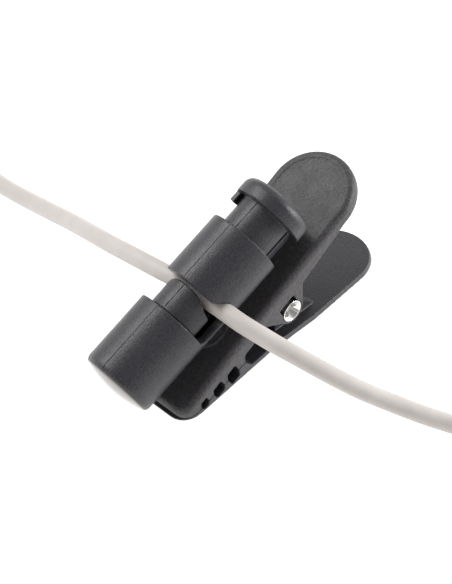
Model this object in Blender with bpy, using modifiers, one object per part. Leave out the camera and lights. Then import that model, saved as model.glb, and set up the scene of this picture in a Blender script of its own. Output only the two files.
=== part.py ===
"""Clip-on lavalier microphone: a small capsule, its thin lead, and the garment clip whose sprung grip
holds the lead.

Metres, +Z up. The clip lies closed on its lower lever, jaw tip towards -X and handles towards +X. The
clip's own frame is pitched up by CLIP_TILT: a runs along the grip from its closed end, y across, u up
away from the clip. The grip stands on a swivel foot and is turned by GRIP_SWIVEL about u.
"""

import math

import bmesh
import bpy
from mathutils import Matrix, Vector
from mathutils.geometry import interpolate_bezier

MM = 0.001
GAP = 0.08 * MM  # running gap between small neighbours

# Frames
CLIP_PLACE = (-20.64 * MM, -29.1 * MM)
CLIP_TILT = math.radians(22.8)
GRIP_SWIVEL = math.radians(3.0)
POST_A = 13.2 * MM

# Grip barrel and plunger
BARREL_R = 5.0 * MM
BORE_R = 3.85 * MM
CUP_END = -0.5 * MM
DOME_SLOPE = 17  # degrees, of the cup's domed end where it meets the fillet
CUP_FLOOR = 1.2 * MM
WINDOW = (10.4 * MM, 14.9 * MM)
WINDOW_BOTTOM = -1.35 * MM
SLEEVE_END = 23.9 * MM
SHAFT_R = 3.7 * MM
CAP = (28.2 * MM, 30.8 * MM)
FOOT_R = 2.5 * MM
FOOT_BOTTOM = -5.42 * MM

# Clip levers
LEVER_HALF = 6.1 * MM
UPPER_LEVER = (1.9 * MM, 41.1 * MM)
LOWER_LEVER = (1.4 * MM, 37.3 * MM)
PIN = (21.8 * MM, -10.85 * MM)
PIN_R = 1.55 * MM
PIN_BORE_R = 1.15 * MM
EAR_INNER = 4.6 * MM
LOWER_EAR = (3.2 * MM, 4.4 * MM)
CONTACT_SLOPE = math.tan(math.radians(9.1))
JAW_END = 12.7 * MM
GROOVES = ((4.6 * MM, 6.0 * MM), (6.9 * MM, 8.8 * MM), (9.5 * MM, 11.5 * MM))

# Lead
LEAD_R = 1.2 * MM
LEAD_SIDES = 2
LEAD_SPACING = 6.0 * MM
FACE_GAP = 0.3 * MM  # between pieces of the lead that meet end to end

# The lead from the capsule, down its slope to the grip, through it and on to the coil, in mm
LEAD_ROUTE = (
    (-4.3, 16.7, 3.1),
    (-4.3, 14.4, 3.1),
    (-4.4, 11.0, 3.45),
    (-4.5, 6.6, 4.3),
    (-4.8, 2.0, 5.6),
    (-5.2, -2.8, 7.1),
    (-5.8, -7.7, 8.7),
    (-6.4, -12.4, 10.2),
    (-6.7, -16.8, 11.4),
    (-6.9, -21.0, 12.4),
    (-6.8, -25.1, 12.95),
    (-6.8, -29.1, 13.0),
    (-6.7, -33.1, 13.0),
    (-6.7, -36.9, 12.9),
    (-6.2, -39.9, 12.4),
    (-5.5, -42.4, 11.6),
    (-4.5, -44.8, 10.5),
    (-3.4, -47.0, 9.2),
    (-2.1, -49.2, 7.7),
    (-0.7, -51.2, 6.2),
    (0.8, -53.1, 4.8),
    (2.3, -55.0, 3.5),
    (3.7, -57.0, 2.4),
    (5.0, -59.2, 1.7),
    (6.2, -61.6, 1.35),
    (7.7, -64.2, 1.25),
    (9.6, -67.0, 1.25),
    (11.9, -70.2, 1.35),
    (14.6, -73.9, 1.6),
    (18.8, -79.6, 1.8),
)
# The tail from the coil's top turn down to the plug, in mm
TAIL_ROUTE = (
    (21.6, -88.6, 9.15),
    (21.6, -93.6, 9.1),
    (21.4, -97.6, 8.5),
    (20.1, -101.4, 7.0),
    (17.6, -104.9, 5.3),
    (14.3, -107.5, 4.1),
    (10.7, -109.0, 3.3),
    (8.0, -109.3, 3.1),
)

# Coil of the spare lead
COIL_CENTRE = (5.9 * MM, -88.6 * MM)
COIL_RADIUS = (9.4 * MM, 17.0 * MM)
COIL_HEIGHT = (0.6 * MM, 10.4 * MM)
TIE_TURN = math.radians(150)

# Microphone capsule, its axis along y
CAPSULE_AXIS = (-4.3 * MM, 3.1 * MM)
CAPSULE_R = 3.0 * MM
RELIEF = (17.0 * MM, 22.6 * MM)
CAPSULE_FRONT = 35.2 * MM

# Plug, its axis along -x
PLUG_AXIS = (-109.3 * MM, 3.1 * MM)
PLUG_START = 7.7 * MM
PLUG_R = 1.75 * MM

ROOM = bpy.data.collections.new("lavalier_microphone")
CUTTERS = bpy.data.collections.new("cutters")


def clear_scene():
    for obj in list(bpy.data.objects):
        bpy.data.objects.remove(obj, do_unlink=True)
    for collection in (ROOM, CUTTERS):
        bpy.context.scene.collection.children.link(collection)


def material(name, colour, roughness, metallic=0.0):
    mat = bpy.data.materials.new(name)
    mat.use_nodes = True
    shader = mat.node_tree.nodes["Principled BSDF"]
    shader.inputs["Base Color"].default_value = (*colour, 1.0)
    shader.inputs["Roughness"].default_value = roughness
    shader.inputs["Metallic"].default_value = metallic
    return mat


def empty(name, location, rotation, parent=None):
    obj = bpy.data.objects.new(name, None)
    obj.empty_display_size = 4 * MM
    obj.location = location
    obj.rotation_euler = rotation
    obj.parent = parent
    ROOM.objects.link(obj)
    bpy.context.view_layer.update()
    return obj


# Solids: each maker returns a bare object in the frame that its parent gives it


def as_object(name, bm, frame, collection=ROOM):
    bmesh.ops.recalc_face_normals(bm, faces=bm.faces)
    mesh = bpy.data.meshes.new(name)
    bm.to_mesh(mesh)
    bm.free()
    obj = bpy.data.objects.new(name, mesh)
    obj.parent = frame
    collection.objects.link(obj)
    return obj


def dress(obj, mat, location=None):
    """Gives a finished piece its material and, for a moving piece, its origin on its joint."""
    obj.data.materials.clear()
    obj.data.materials.append(mat)
    obj.data.shade_smooth()
    obj.data.set_sharp_from_angle(angle=math.radians(35))
    if location is not None:
        obj.data.transform(Matrix.Translation(-Vector(location)))
        obj.location = location
    return obj


def baked(obj):
    """The object's evaluated shape as a plain mesh with welded seams; its cutters stay as they are."""
    bpy.context.view_layer.update()
    seen = obj.evaluated_get(bpy.context.evaluated_depsgraph_get())
    mesh = bpy.data.meshes.new_from_object(seen)
    bm = bmesh.new()
    bm.from_mesh(mesh)
    bmesh.ops.remove_doubles(bm, verts=bm.verts, dist=1e-7)
    bmesh.ops.dissolve_degenerate(bm, edges=bm.edges, dist=1e-7)
    bm.to_mesh(mesh)
    bm.free()
    old = obj.data
    obj.modifiers.clear()
    if obj.type == "CURVE":
        new = bpy.data.objects.new(obj.name + "_solid", mesh)
        new.parent = obj.parent
        new.location = obj.location
        new.rotation_euler = obj.rotation_euler
        obj.users_collection[0].objects.link(new)
        name = obj.name
        bpy.data.objects.remove(obj, do_unlink=True)
        bpy.data.curves.remove(old)
        new.name = name
        mesh.name = name
        return new
    obj.data = mesh
    bpy.data.meshes.remove(old)
    mesh.name = obj.name
    return obj


def as_cutter(obj):
    for collection in list(obj.users_collection):
        collection.objects.unlink(obj)
    CUTTERS.objects.link(obj)
    obj.hide_render = True
    obj.display_type = "WIRE"
    return obj


def boolean(target, tool, operation):
    step = target.modifiers.new(tool.name, "BOOLEAN")
    step.operation = operation
    step.solver = "EXACT"
    step.object = as_cutter(tool)


def cut(target, *tools):
    for tool in tools:
        boolean(target, tool, "DIFFERENCE")


def join(target, *tools):
    for tool in tools:
        boolean(target, tool, "UNION")


def keep_inside(target, tool):
    boolean(target, tool, "INTERSECT")


def block(name, low, high, frame):
    """A box between two corners."""
    low, high = Vector(low), Vector(high)
    bm = bmesh.new()
    place = Matrix.Translation((low + high) / 2) @ Matrix.Diagonal((*(high - low), 1.0))
    bmesh.ops.create_cube(bm, size=1.0, matrix=place)
    return as_object(name, bm, frame)


AXES = {
    "a": Matrix.Rotation(math.pi / 2, 4, "Y"),
    "y": Matrix.Rotation(-math.pi / 2, 4, "X"),
    "u": Matrix.Identity(4),
}


def rod(name, axis, centre, radius, low, high, frame, segments=40, radius_high=None):
    """A cylinder or cone along a, y or u, from low to high on that axis."""
    bm = bmesh.new()
    along = AXES[axis] @ Vector((0, 0, (low + high) / 2))
    bmesh.ops.create_cone(
        bm,
        cap_ends=True,
        segments=segments,
        radius1=radius,
        radius2=radius if radius_high is None else radius_high,
        depth=high - low,
        matrix=Matrix.Translation(Vector(centre) + along) @ AXES[axis],
    )
    return as_object(name, bm, frame)


def turned(name, profile, axis, centre, frame, segments=48):
    """A turned solid: profile points (radius, place on the axis), outer side from high to low."""
    bm = bmesh.new()
    verts = [bm.verts.new((r, 0, z)) for r, z in profile]
    for first, second in zip(verts, verts[1:], strict=False):
        bm.edges.new((first, second))
    obj = as_object(name, bm, frame)
    obj.location = centre
    obj.rotation_euler = AXES[axis].to_euler()
    screw = obj.modifiers.new("turn", "SCREW")
    screw.steps = screw.render_steps = segments
    screw.use_merge_vertices = True
    screw.merge_threshold = 1e-7
    obj = baked(obj)
    obj.data.transform(obj.matrix_basis)
    obj.location = (0, 0, 0)
    obj.rotation_euler = (0, 0, 0)
    return obj


def arc(centre, radius, start, end, steps):
    """Points on an arc, angles in degrees."""
    turn = [math.radians(start + (end - start) * i / steps) for i in range(steps + 1)]
    return [(centre[0] + radius * math.cos(t), centre[1] + radius * math.sin(t)) for t in turn]


def plate(name, outline, low, high, across, frame):
    """A flat outline given thickness: across y for an (a, u) outline, across u for an (a, y) one."""
    curve = bpy.data.curves.new(name, "CURVE")
    curve.dimensions = "2D"
    curve.fill_mode = "BOTH"
    curve.extrude = (high - low) / 2
    spline = curve.splines.new("POLY")
    spline.points.add(len(outline) - 1)
    for point, (x, y) in zip(spline.points, outline, strict=True):
        point.co = (x, y, 0, 1)
    spline.use_cyclic_u = True
    obj = bpy.data.objects.new(name, curve)
    obj.parent = frame
    ROOM.objects.link(obj)
    obj = baked(obj)
    middle = (low + high) / 2
    if across == "y":
        place = Matrix.Translation((0, middle, 0)) @ Matrix.Rotation(math.pi / 2, 4, "X")
    else:
        place = Matrix.Translation((0, 0, middle))
    obj.data.transform(place)
    return obj


def soften(obj, wanted, width, segments=3):
    """Rounds the edges whose two ends both answer to wanted."""
    bm = bmesh.new()
    bm.from_mesh(obj.data)
    bmesh.ops.dissolve_limit(bm, angle_limit=1e-3, verts=bm.verts, edges=bm.edges)
    edges = [
        e
        for e in bm.edges
        if e.is_manifold and e.calc_face_angle() > math.radians(50) and all(wanted(v.co) for v in e.verts)
    ]
    bmesh.ops.bevel(
        bm, geom=edges, offset=width, segments=segments, profile=0.5, affect="EDGES", clamp_overlap=True
    )
    bmesh.ops.remove_doubles(bm, verts=bm.verts, dist=1e-7)
    bm.to_mesh(obj.data)
    bm.free()


def tube(name, points, radius, frame, sides=LEAD_SIDES):
    """A round wire through the points, with filled ends."""
    curve = bpy.data.curves.new(name, "CURVE")
    curve.dimensions = "3D"
    curve.bevel_depth = radius
    curve.bevel_resolution = sides
    curve.use_fill_caps = True
    spline = curve.splines.new("POLY")
    spline.points.add(len(points) - 1)
    for point, place in zip(spline.points, points, strict=True):
        point.co = (*place, 1)
    obj = bpy.data.objects.new(name, curve)
    obj.parent = frame
    ROOM.objects.link(obj)
    return baked(obj)


def smooth_route(route, spacing):
    """Evenly spaced points on a smooth curve through the route's points."""
    points = [Vector(p) for p in route]
    ends = [points[0] * 2 - points[1], *points, points[-1] * 2 - points[-2]]
    fine = []
    for before, first, second, after in zip(ends, ends[1:], ends[2:], ends[3:], strict=False):
        reach = (second - first).length / 3
        leave = first + (second - before).normalized() * reach
        arrive = second - (after - first).normalized() * reach
        fine += interpolate_bezier(first, leave, arrive, second, 12)[:-1]
    fine.append(points[-1])
    total = sum((b - a).length for a, b in zip(fine, fine[1:], strict=False))
    count = max(2, round(total / spacing))
    even, walked, wanted = [fine[0]], 0.0, total / count
    for first, second in zip(fine, fine[1:], strict=False):
        step = (second - first).length
        while walked + step >= wanted and len(even) < count:
            even.append(first.lerp(second, (wanted - walked) / step))
            wanted += total / count
        walked += step
    return [*even, fine[-1]]


# The grip: a barrel with a window, and a sprung plunger whose hook holds the lead


def dome(reach, place, edge, steps):
    """Profile of the cup's domed end, from the edge of its fillet to the axis."""
    slope = math.radians(DOME_SLOPE)
    radius = (reach + edge * math.sin(slope)) / math.sin(slope)
    centre = place + (radius - edge) * math.cos(slope)
    line = arc((0, centre), radius, DOME_SLOPE - 90, -90, steps)
    return [*line[1:-1], (0, centre - radius)]


def make_grip_barrel(frame, mat):
    edge, rim = 1.0 * MM, 0.25 * MM
    profile = [(BORE_R, SLEEVE_END), (BARREL_R - rim, SLEEVE_END), (BARREL_R, SLEEVE_END - rim)]
    profile += arc((BARREL_R - edge, CUP_END + edge), edge, 0, DOME_SLOPE - 90, 5)
    profile += dome(BARREL_R - edge, CUP_END + edge, edge, 5)
    profile += [(0, CUP_FLOOR), (BORE_R, CUP_FLOOR), (BORE_R, SLEEVE_END)]
    barrel = turned("grip_barrel", profile, "a", (0, 0, 0), frame)
    corner = 1.0 * MM
    low, high = WINDOW
    notch = [(1.55, -0.7), (1.55, 0.3), (1.4, 0.95), (1.05, 1.75), (0.55, 2.5), (0.05, 3.1)]
    outline = [(low, 7 * MM)]
    outline += arc((low + corner, WINDOW_BOTTOM + corner), corner, 180, 270, 5)
    outline += [(high + 0.75 * MM, WINDOW_BOTTOM)]
    outline += [(high + a * MM, u * MM) for a, u in notch]
    outline += [(high, 7 * MM)]
    window = plate("window", outline, -6 * MM, 6 * MM, "y", frame)
    keyway = block("keyway", (7.0 * MM, -2.75 * MM, -3.5 * MM), (26 * MM, 2.75 * MM, 0), frame)
    foot = rod("foot", "u", (POST_A, 0, 0), FOOT_R, FOOT_BOTTOM, -4.2 * MM, frame, 32)
    socket = rod("screw_socket", "u", (POST_A, 0, 0), 1.0 * MM, -6 * MM, -4.3 * MM, frame, 24)
    join(barrel, foot)
    cut(barrel, window, keyway, socket)
    return dress(baked(barrel), mat)


def make_plunger(frame, mat):
    high = CAP[1]
    fillet = 1.3 * MM
    profile = [(0, high), (BARREL_R - fillet, high)]
    profile += arc((BARREL_R - fillet, high - fillet), fillet, 90, 0, 5)[1:]
    profile += [(BARREL_R, CAP[0]), (SHAFT_R, CAP[0]), (SHAFT_R, 10.6 * MM), (SHAFT_R - 0.3 * MM, 10.3 * MM)]
    profile += [(1.95 * MM, 10.3 * MM), (1.95 * MM, 8.9 * MM), (1.65 * MM, 8.6 * MM), (0, 8.6 * MM)]
    plunger = turned("plunger", profile, "a", (0, 0, 0), frame)
    cradle = [(14.64, 4.5), (14.64, 3.45), (14.2, 2.95), (13.8, 2.34), (13.5, 1.8), (13.3, 0.4)]
    cradle += [(13.35, -0.4), (13.8, -1.15), (14.4, -1.4), (20.6, -1.4), (20.9, -1.1), (20.9, 4.5)]
    notch = plate("lead_notch", [(a * MM, u * MM) for a, u in cradle], -5 * MM, 5 * MM, "y", frame)
    web = 2.6 * MM
    below = -0.3 * MM
    sides = [
        block(f"web_side_{side}", (10 * MM, low, -5 * MM), (20.9 * MM, high_y, below), frame)
        for side, low, high_y in (("left", web, 5 * MM), ("right", -5 * MM, -web))
    ]
    grooves = [
        block(f"guide_groove_{side}", (20 * MM, low, -0.6 * MM), (CAP[0] - GAP, high_y, -0.15 * MM), frame)
        for side, low, high_y in (("left", 3.25 * MM, 5 * MM), ("right", -5 * MM, -3.25 * MM))
    ]
    key = block("key", (10.7 * MM, -web, -3.38 * MM), (CAP[0] + 0.5 * MM, web, -2.4 * MM), frame)
    prong = block("prong", (26.7 * MM, 3.55 * MM, 1.5 * MM), (CAP[0] + 0.3 * MM, 4.2 * MM, 2.5 * MM), frame)
    cut(plunger, notch, *sides, *grooves)
    join(plunger, key, prong)
    return dress(baked(plunger), mat, (SLEEVE_END, 0, 0))


def make_plunger_spring(frame, mat):
    wire, radius, turns, per_turn = 0.24 * MM, 2.75 * MM, 6, 12
    low, high = CUP_FLOOR + wire + 0.05 * MM, 10.3 * MM - wire - 0.05 * MM
    points = []
    for i in range(turns * per_turn + 1):
        share = i / (turns * per_turn)
        turn = math.tau * turns * share
        points.append((low + (high - low) * share, radius * math.cos(turn), radius * math.sin(turn)))
    return dress(tube("plunger_spring", points, wire, frame, 1), mat)


# The swivel between grip and clip


def make_swivel_screw(frame, mat):
    profile = [(0, -4.4 * MM), (0.9 * MM, -4.4 * MM), (0.9 * MM, -7.25 * MM), (1.7 * MM, -7.25 * MM)]
    profile += [(1.7 * MM, -7.75 * MM), (1.35 * MM, -8.05 * MM), (0, -8.05 * MM)]
    screw = turned("swivel_screw", profile, "u", (POST_A, 0, 0), frame, 32)
    slot = block(
        "screw_slot",
        (POST_A - 2 * MM, -0.2 * MM, -8.5 * MM),
        (POST_A + 2 * MM, 0.2 * MM, -7.75 * MM),
        frame,
    )
    cut(screw, slot)
    return dress(baked(screw), mat)


def make_swivel_washer(frame, mat):
    top, bottom = FOOT_BOTTOM - 0.05 * MM, FOOT_BOTTOM - 0.3 * MM
    profile = [(2.4 * MM, top), (2.4 * MM, bottom), (1.15 * MM, bottom), (1.15 * MM, top), (2.4 * MM, top)]
    return dress(turned("swivel_washer", profile, "u", (POST_A, 0, 0), frame, 32), mat)


# The clip: two levers on a hollow pin, closed by a torsion spring


def contact(a):
    """Height of the plane where the two jaws meet."""
    return -7.98 * MM - (a - 1.9 * MM) * CONTACT_SLOPE


def top_face(a):
    return -6.25 * MM + (a - 1.9 * MM) * 0.03


def outer_face(a):
    """Outer face of the lower lever: the jaw, then the handle."""
    jaw_slope, handle_slope, bend = 0.323, 0.488, 16.2 * MM
    if a < bend:
        return -9.15 * MM - (a - 4.0 * MM) * jaw_slope
    return outer_face(bend - 1e-9) - (a - bend) * handle_slope


def upper_side():
    """Side outline of the upper lever, jaw grooves included."""
    tip, end = UPPER_LEVER
    line = [(tip, top_face(tip)), (tip, contact(tip))]
    for low, high in GROOVES:
        depth = 0.95 * MM - 0.02 * (12 * MM - low)
        slant = 0.35 * MM
        line += [(low, contact(low)), (low + slant, contact(low) + depth)]
        line += [(high - 0.1 * MM, contact(low) + depth), (high, contact(high))]
    line += [(JAW_END, contact(JAW_END)), (JAW_END + 0.6 * MM, -8.6 * MM), (18.5 * MM, -8.55 * MM)]
    line += [(25.0 * MM, -8.45 * MM), (33.9 * MM, -7.3 * MM), (end, -6.9 * MM), (end, top_face(end))]
    return line


def ear_side():
    """Side outline of the upper lever's ears, round under the pin."""
    line = [(17.9 * MM, -7.9 * MM), (17.9 * MM, -8.5 * MM), (19.9 * MM, -11.3 * MM)]
    line += arc(PIN, 1.95 * MM, 205, 340, 10)
    line += [(25.2 * MM, -8.4 * MM), (25.2 * MM, -7.9 * MM)]
    return line


def lever_plan(tip, corner, end, half_end):
    """Plan outline: a jaw with round corners, and a handle with a half-round end."""
    half = LEVER_HALF
    line = arc((tip + corner, -half + corner), corner, 180, 270, 6)
    line += [(24 * MM, -half)]
    line += arc((end - half_end, 0), half_end, -88, 88, 24)
    line += [(24 * MM, half)]
    line += arc((tip + corner, half - corner), corner, 90, 180, 6)
    return line


def make_upper_lever(frame, mat):
    half = LEVER_HALF
    lever = plate("upper_lever", upper_side(), -half - MM, half + MM, "y", frame)
    plan = lever_plan(UPPER_LEVER[0], 1.9 * MM, UPPER_LEVER[1] - 0.1 * MM, half)
    keep_inside(lever, plate("upper_plan", plan, -20 * MM, 5 * MM, "u", frame))
    pad = rod("swivel_pad", "u", (POST_A, 0, 0), 3.3 * MM, -7 * MM, FOOT_BOTTOM - 0.35 * MM, frame, 32)
    lever = baked(lever)
    soften(lever, lambda co: abs(co.z - top_face(co.x)) < 0.02 * MM, 0.95 * MM, 3)
    ears = []
    for side, low, high in (("right", -half, -EAR_INNER), ("left", EAR_INNER, half)):
        ears.append(plate(f"ear_{side}", ear_side(), low + 0.01 * MM, high - 0.01 * MM, "y", frame))
    hole = rod("pin_hole", "y", (PIN[0], 0, PIN[1]), PIN_R + GAP, -8 * MM, 8 * MM, frame, 32)
    reach = 1.4 * MM
    slots = [
        block(f"ear_slot_{side}", (PIN[0] - reach, low, PIN[1]), (PIN[0] + reach, high, -8.55 * MM), frame)
        for side, low, high in (("right", -8 * MM, -EAR_INNER + MM), ("left", EAR_INNER - MM, 8 * MM))
    ]
    pocket = rod("spring_pocket", "y", (PIN[0], 0, PIN[1]), 2.75 * MM, -EAR_INNER, EAR_INNER, frame, 32)
    bore = rod("screw_hole", "u", (POST_A, 0, 0), 1.1 * MM, -10 * MM, -4 * MM, frame, 24)
    recess = rod("screw_recess", "u", (POST_A, 0, 0), 2.0 * MM, -12 * MM, -7.15 * MM, frame, 32)
    join(lever, pad, *ears)
    cut(lever, hole, *slots, pocket, bore, recess)
    return dress(baked(lever), mat, (POST_A, 0, 0))


def lower_side():
    """Side outline of the lower lever, its jaw grooves deeper towards the hinge."""
    tip, end = LOWER_LEVER
    wall = 1.05 * MM
    line = [(end, outer_face(end)), (end, outer_face(end) + wall), (17.4 * MM, outer_face(17.4 * MM) + wall)]
    line += [(13.2 * MM, outer_face(13.2 * MM) + 0.85 * MM), (JAW_END, contact(JAW_END) - GAP)]
    for index, (low, high) in reversed(list(enumerate(GROOVES))):
        depth = (0.4 + 0.3 * index) * MM
        slant = 0.35 * MM
        line += [(high, contact(high) - GAP), (high - slant, contact(high) - GAP - depth)]
        line += [(low + 0.1 * MM, contact(high) - GAP - depth), (low, contact(low) - GAP)]
    line += [(tip, contact(tip) - GAP), (tip, outer_face(tip)), (16.2 * MM, outer_face(16.2 * MM))]
    return line


def lower_ear_side():
    """Side outline of the lower lever's ears, round over the pin."""
    line = arc(PIN, 2.25 * MM, -10, 195, 12)
    line += [(18.6 * MM, outer_face(18.6 * MM) + 0.6 * MM), (25.4 * MM, outer_face(25.4 * MM) + 0.6 * MM)]
    return line


def make_lower_lever(frame, mat):
    half = LEVER_HALF
    lever = plate("lower_lever", lower_side(), -half - MM, half + MM, "y", frame)
    plan = lever_plan(LOWER_LEVER[0], 2.6 * MM, LOWER_LEVER[1] - 0.1 * MM, 5.4 * MM)
    keep_inside(lever, plate("lower_plan", plan, -30 * MM, 0, "u", frame))
    ears = []
    for side, low, high in (("right", -LOWER_EAR[1], -LOWER_EAR[0]), ("left", *LOWER_EAR)):
        ears.append(plate(f"lower_ear_{side}", lower_ear_side(), low, high, "y", frame))
    hole = rod("lower_pin_hole", "y", (PIN[0], 0, PIN[1]), PIN_R + GAP, -6 * MM, 6 * MM, frame, 32)
    join(lever, *ears)
    cut(lever, hole)
    return dress(baked(lever), mat, (PIN[0], 0, PIN[1]))


def make_hinge_pin(frame, mat):
    """A hollow rivet with rolled, dished ends."""
    reach, roll = LEVER_HALF - 0.02 * MM, 0.15 * MM
    throat, depth = 0.55 * MM, 1.5 * MM
    profile = [(PIN_R - roll, reach), (PIN_R, reach - roll), (PIN_R, roll - reach), (PIN_R - roll, -reach)]
    profile += [(PIN_BORE_R, 2 * roll - reach), (throat, depth - reach), (throat, reach - depth)]
    profile += [(PIN_BORE_R, reach - 2 * roll), profile[0]]
    return dress(turned("hinge_pin", profile, "y", (PIN[0], 0, PIN[1]), frame, 36), mat)


def make_clip_spring(frame, mat):
    """Torsion spring round the pin, with one leg under each handle."""
    wire, radius, turns, per_turn = 0.25 * MM, 1.95 * MM, 6, 14
    half_width = 2.4 * MM
    up, down = math.radians(101), math.radians(-116 - 360 * turns)
    points = [(29.0 * MM, half_width, -8.55 * MM)]
    steps = int(turns * per_turn + per_turn * 0.6)
    for i in range(steps + 1):
        share = i / steps
        turn = up + (down - up) * share
        side = half_width * (1 - 2 * share)
        points.append((PIN[0] + radius * math.cos(turn), side, PIN[1] + radius * math.sin(turn)))
    leg_end = 25.2 * MM
    points.append((leg_end, -half_width, outer_face(leg_end) + 1.45 * MM))
    return dress(tube("clip_spring", points, wire, frame, 1), mat)


# The lead and the coil of its spare length


def make_lead(mat):
    points = [Vector(p) * MM for p in LEAD_ROUTE]
    lead = tube("mic_cable", smooth_route(points, LEAD_SPACING), LEAD_R, None)
    cut(lead, coil_ring("lead_stop", FACE_GAP))
    return dress(baked(lead), mat)


def coil_ring(name, margin):
    """The coil's outer shape, or the same shape with a margin all round."""
    inner, outer = COIL_RADIUS[0] - margin, COIL_RADIUS[1] + margin
    low, high = COIL_HEIGHT[0] - margin, COIL_HEIGHT[1] + margin
    rounding = LEAD_R
    profile = arc((outer - rounding, high - rounding), rounding, 90, 0, 3)
    profile += arc((outer - rounding, low + rounding), rounding, 0, -90, 3)
    profile += arc((inner + rounding, low + rounding), rounding, -90, -180, 3)
    profile += arc((inner + rounding, high - rounding), rounding, 180, 90, 3)
    profile += [profile[0]]
    return turned(name, profile, "u", (*COIL_CENTRE, 0), None, 40)


def make_cable_coil(mat):
    return dress(coil_ring("cable_coil", 0), mat)


def make_cable_tail(mat):
    points = [Vector(p) * MM for p in TAIL_ROUTE]
    tail = tube("cable_tail", smooth_route(points, 2.5 * MM), LEAD_R, None)
    cut(tail, coil_ring("tail_stop", FACE_GAP))
    return dress(baked(tail), mat)


def rounded_box(low, high, radius):
    """Outline of a rectangle with round corners."""
    corners = ((high[0], high[1], 0), (low[0], high[1], 90), (low[0], low[1], 180), (high[0], low[1], 270))
    line = []
    for x, y, start in corners:
        side = 1 if start in (0, 270) else -1
        rise = 1 if start in (0, 90) else -1
        line += arc((x - side * radius, y - rise * radius), radius, start, start + 90, 4)
    return line


def make_coil_tie(mat):
    """A flat strap round the turns, its long side upright."""
    half_width, room, strap = 2.0 * MM, 0.12 * MM, 0.4 * MM
    bulge = 0.24 * MM
    low = (COIL_RADIUS[0] - bulge - room, COIL_HEIGHT[0] - room)
    high = (COIL_RADIUS[1] + room, COIL_HEIGHT[1] + room)
    outer_low, outer_high = [v - strap for v in low], [v + strap for v in high]
    outer = rounded_box(outer_low, outer_high, LEAD_R + strap)
    tie = plate("coil_tie", outer, -half_width, half_width, "y", None)
    inner = rounded_box(low, high, LEAD_R)
    cut(tie, plate("tie_room", inner, -2 * half_width, 2 * half_width, "y", None))
    tie = baked(tie)
    tie.data.transform(Matrix.Rotation(TIE_TURN, 4, "Z"))
    tie.data.transform(Matrix.Translation((*COIL_CENTRE, 0)))
    return dress(tie, mat)


# The microphone capsule


def capsule_part(name, profile, segments=32):
    """A piece turned about the capsule's axis; the profile's places run along +y."""
    centre = (CAPSULE_AXIS[0], 0, CAPSULE_AXIS[1])
    return turned(name, profile, "y", centre, None, segments)


def make_capsule_relief(mat):
    back, front = RELIEF
    profile = [(0, front), (2.2 * MM, front), (2.2 * MM, front - 1.2 * MM)]
    for ring in range(3):
        place = front - (1.6 + 1.2 * ring) * MM
        radius = (2.05 - 0.14 * ring) * MM
        profile += [(radius - 0.25 * MM, place + 0.2 * MM), (radius - 0.25 * MM, place - 0.2 * MM)]
        profile += [(radius, place - 0.4 * MM), (radius - 0.08 * MM, place - 0.8 * MM)]
    profile += [(1.5 * MM, back), (0, back)]
    return dress(capsule_part("capsule_strain_relief", profile), mat)


def make_capsule_housing(mat):
    back, front, wall, edge = RELIEF[1] + GAP, CAPSULE_FRONT, 0.35 * MM, 0.5 * MM
    bore = CAPSULE_R - wall
    profile = [(bore, front), (CAPSULE_R - 0.15 * MM, front), (CAPSULE_R, front - 0.15 * MM)]
    profile += arc((CAPSULE_R - edge, back + edge), edge, 0, -90, 4)
    profile += [(0, back), (0, back + 1.0 * MM), (bore, back + 1.0 * MM), (bore, front)]
    return dress(capsule_part("capsule_housing", profile), mat)


def make_capsule_gasket(mat):
    """Rubber sleeve that holds the element in the housing."""
    outer, inner = CAPSULE_R - 0.35 * MM - GAP, 2.1 * MM
    low, high = 28.0 * MM, 33.4 * MM
    profile = [(inner, high), (outer, high), (outer, low), (inner, low), (inner, high)]
    return dress(capsule_part("capsule_gasket", profile), mat)


def make_capsule_element(mat):
    """Electret element: a can with a sound port in its front."""
    radius, low, high, port = 2.0 * MM, 29.5 * MM, 33.2 * MM, 0.5 * MM
    profile = [(0, high - 0.5 * MM), (port, high - 0.5 * MM), (port, high), (radius - 0.2 * MM, high)]
    profile += [(radius, high - 0.2 * MM), (radius, low), (0, low)]
    return dress(capsule_part("capsule_element", profile), mat)


def make_capsule_board(mat):
    low, high = 28.6 * MM, 29.4 * MM
    profile = [(0, high), (1.9 * MM, high), (1.9 * MM, low), (0, low)]
    return dress(capsule_part("capsule_board", profile), mat)


def make_capsule_grille(mat):
    """A dished disc with rings of holes, set in the housing's mouth."""
    radius, low, high = CAPSULE_R - 0.35 * MM - GAP, 33.6 * MM, 34.9 * MM
    profile = [(0, high), (1.9 * MM, high - 0.05 * MM), (radius - 0.1 * MM, high - 0.2 * MM)]
    profile += [(radius, high - 0.35 * MM), (radius, low), (radius - 0.5 * MM, low)]
    profile += [(radius - 0.5 * MM, high - 0.6 * MM), (0, high - 0.6 * MM)]
    grille = capsule_part("capsule_grille", profile)
    for ring, (reach, count) in enumerate(((0.75 * MM, 6), (1.45 * MM, 10))):
        for i in range(count):
            turn = math.tau * (i + 0.5 * ring) / count
            centre = (CAPSULE_AXIS[0] + reach * math.cos(turn), 0, CAPSULE_AXIS[1] + reach * math.sin(turn))
            hole = rod(f"sound_hole_{ring}_{i}", "y", centre, 0.22 * MM, low - MM, high + MM, None, 8)
            cut(grille, hole)
    return dress(baked(grille), mat)


# The plug


def plug_part(name, profile, segments=32):
    """A piece turned about the plug's axis; the profile's places run along -x."""
    flipped = [(r, -z) for r, z in profile[::-1]]
    return turned(name, flipped, "a", (PLUG_START, *PLUG_AXIS), None, segments)


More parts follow.
